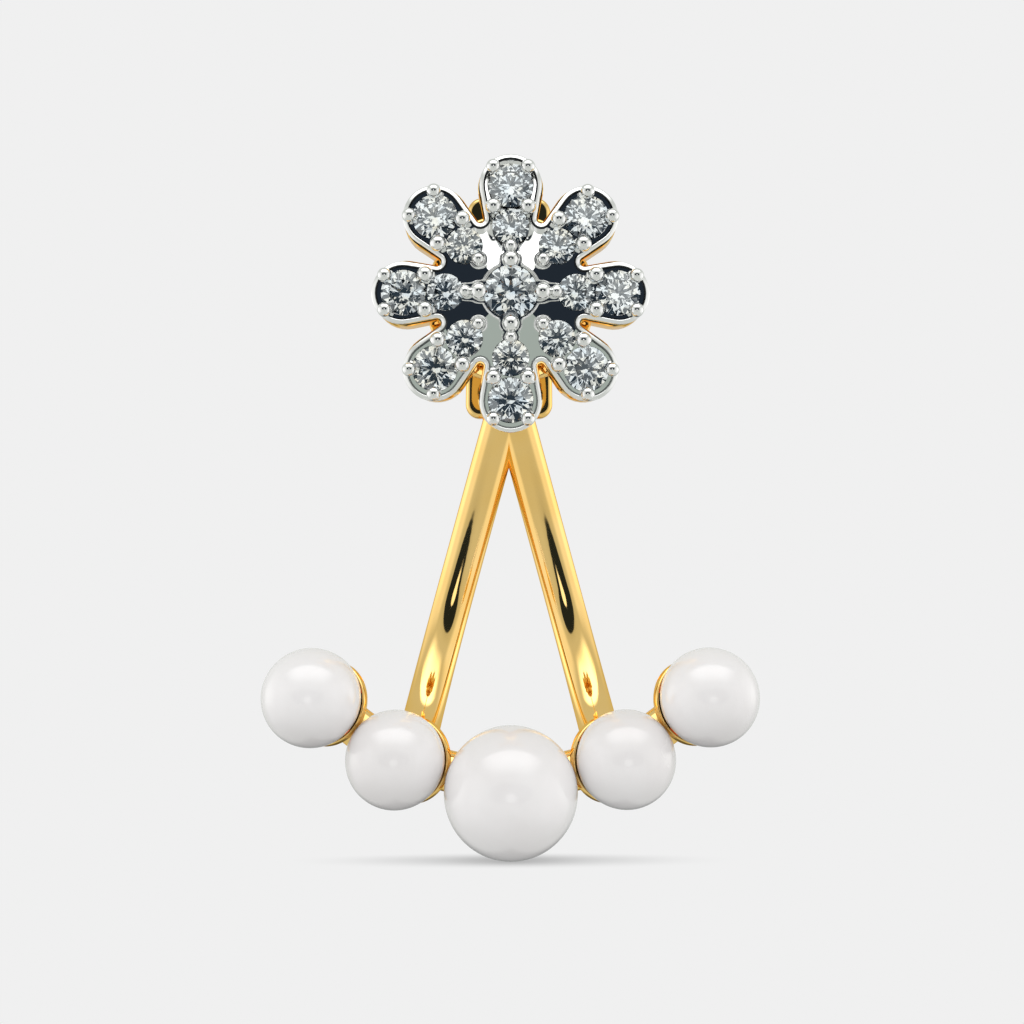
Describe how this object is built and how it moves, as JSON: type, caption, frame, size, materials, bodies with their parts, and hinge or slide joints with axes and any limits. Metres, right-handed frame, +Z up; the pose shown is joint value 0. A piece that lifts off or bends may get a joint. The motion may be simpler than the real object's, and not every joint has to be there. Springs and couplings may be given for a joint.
{
  "type": "ear jacket earring",
  "caption": "Stud earring with a pave flower front whose post also carries a two-armed gold jacket behind the lobe, ending in a smile of pearls below it.",
  "frame": {"origin": "on the ear post's axis, in the middle of the earlobe gap between the flower's gallery and the jacket plate", "axes": "+X to the right seen from the front, +Y back along the ear post through the lobe, +Z up"},
  "size_m": [0.02, 0.0153, 0.0283],
  "materials": {
    "white_gold": "mirror polished rhodium face over yellow gold sides",
    "yellow_gold": "mirror polished 18 carat yellow gold",
    "brilliant": "round brilliant cut, polished facets",
    "pearl": "white nacre with a soft lustre"
  },
  "bodies": {
    "stud": {"flower_setting": "white_gold", "centre_stone": "brilliant", "outer_stone_1": "brilliant", "outer_stone_2": "brilliant", "outer_stone_3": "brilliant", "outer_stone_4": "brilliant", "outer_stone_5": "brilliant", "outer_stone_6": "brilliant", "outer_stone_7": "brilliant", "outer_stone_8": "brilliant", "inner_stone_1": "brilliant", "inner_stone_2": "brilliant", "inner_stone_3": "brilliant", "inner_stone_4": "brilliant", "inner_stone_5": "brilliant", "inner_stone_6": "brilliant", "inner_stone_7": "brilliant", "inner_stone_8": "brilliant", "ear_nut": "yellow_gold"},
    "jacket": {"jacket_frame": "yellow_gold", "pearl_centre": "pearl", "pearl_inner_left": "pearl", "pearl_inner_right": "pearl", "pearl_outer_left": "pearl", "pearl_outer_right": "pearl"}
  },
  "joints": [
    {"name": "jacket_swing", "type": "hinge", "parent": "stud", "child": "jacket", "pos_m": [0, 0.00275, 0], "axis": [0, 1, 0], "range_deg": [-30, 30]}
  ]
}
